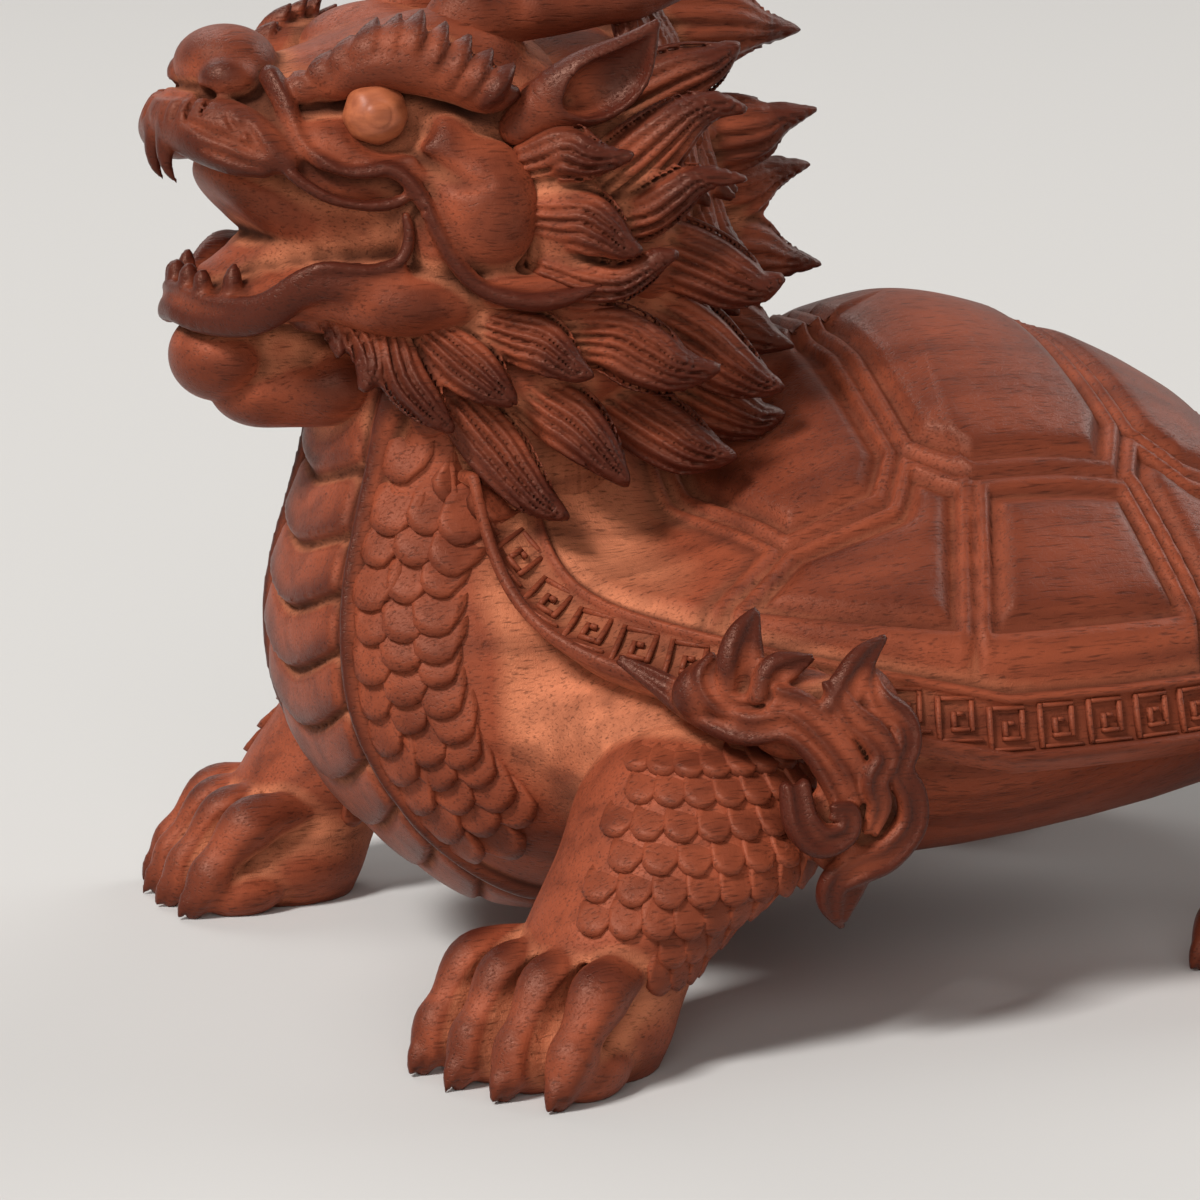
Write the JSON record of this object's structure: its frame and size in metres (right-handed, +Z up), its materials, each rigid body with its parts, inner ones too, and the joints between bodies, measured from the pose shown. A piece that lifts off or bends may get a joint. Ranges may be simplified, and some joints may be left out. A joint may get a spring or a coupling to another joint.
{
  "type": "dragon turtle figurine",
  "caption": "Carved hardwood dragon turtle ornament: a maned dragon head with open jaws on a scaled, clawed turtle body with a domed scute shell.",
  "frame": {"origin": "centre of the overall bounding box's base, on the ground between the paws", "axes": "+Z up, the figure faces -Y, its left side is +X"},
  "size_m": [0.096, 0.1416, 0.1038],
  "materials": {
    "carved_wood": "oiled and hand polished",
    "eye_wood": "lightly oiled",
    "dowel_wood": "bare"
  },
  "bodies": {
    "root": {"trunk": "carved_wood", "carapace": "carved_wood", "head": "carved_wood", "antler_left": "carved_wood", "antler_right": "carved_wood", "ear_left": "carved_wood", "ear_right": "carved_wood", "mane_crest": "carved_wood", "mane_left": "carved_wood", "mane_right": "carved_wood", "beard_left": "carved_wood", "beard_right": "carved_wood", "ruff_left": "carved_wood", "ruff_right": "carved_wood", "front_left_leg": "carved_wood", "front_right_leg": "carved_wood", "rear_left_leg": "carved_wood", "rear_right_leg": "carved_wood", "front_flame_left": "carved_wood", "front_flame_right": "carved_wood", "rear_flame_left": "carved_wood", "rear_flame_right": "carved_wood", "tail": "carved_wood", "eye_left": "eye_wood", "eye_right": "eye_wood", "neck_dowel": "dowel_wood", "front_shell_dowel": "dowel_wood", "rear_shell_dowel": "dowel_wood", "tail_dowel": "dowel_wood", "front_left_leg_dowel": "dowel_wood", "front_right_leg_dowel": "dowel_wood", "rear_left_leg_dowel": "dowel_wood", "rear_right_leg_dowel": "dowel_wood", "antler_dowel_left": "dowel_wood", "antler_dowel_right": "dowel_wood"}
  },
  "joints": []
}
